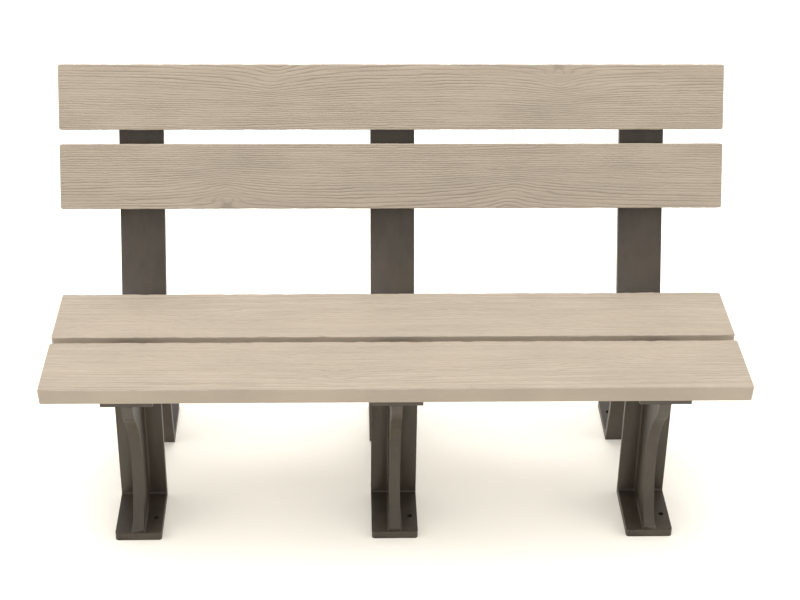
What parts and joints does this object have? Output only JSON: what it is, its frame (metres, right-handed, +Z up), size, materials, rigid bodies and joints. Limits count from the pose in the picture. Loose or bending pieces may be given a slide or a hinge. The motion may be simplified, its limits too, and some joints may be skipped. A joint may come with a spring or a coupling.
{
  "type": "park bench with back",
  "caption": "Park bench with a back: moulded wood-look boards on dark moulded T-section supports with feet that can be anchored.",
  "frame": {"origin": "on the ground at the centre of the bench's bounding box", "axes": "+X along the bench to a viewer's right seen from the front, +Y from the seat's front edge towards the back, +Z up"},
  "size_m": [1.5236, 0.6834, 0.9148],
  "materials": {
    "seat_boards": "matt, embossed with wood grain on the face",
    "back_boards": "matt, embossed with wood grain on the face",
    "supports": "matt dark brown, as moulded",
    "screws": "stainless steel, as forged",
    "washers": "stainless steel, as stamped"
  },
  "bodies": {
    "root": {"front_seat_board": "seat_boards", "rear_seat_board": "seat_boards", "lower_back_board": "back_boards", "upper_back_board": "back_boards", "left_support": "supports", "center_support": "supports", "right_support": "supports", "left_front_seat_screws": "screws", "left_front_seat_washers": "washers", "left_rear_seat_screws": "screws", "left_rear_seat_washers": "washers", "left_lower_back_screws": "screws", "left_lower_back_washers": "washers", "left_upper_back_screws": "screws", "left_upper_back_washers": "washers", "center_front_seat_screws": "screws", "center_front_seat_washers": "washers", "center_rear_seat_screws": "screws", "center_rear_seat_washers": "washers", "center_lower_back_screws": "screws", "center_lower_back_washers": "washers", "center_upper_back_screws": "screws", "center_upper_back_washers": "washers", "right_front_seat_screws": "screws", "right_front_seat_washers": "washers", "right_rear_seat_screws": "screws", "right_rear_seat_washers": "washers", "right_lower_back_screws": "screws", "right_lower_back_washers": "washers", "right_upper_back_screws": "screws", "right_upper_back_washers": "washers"}
  },
  "joints": []
}
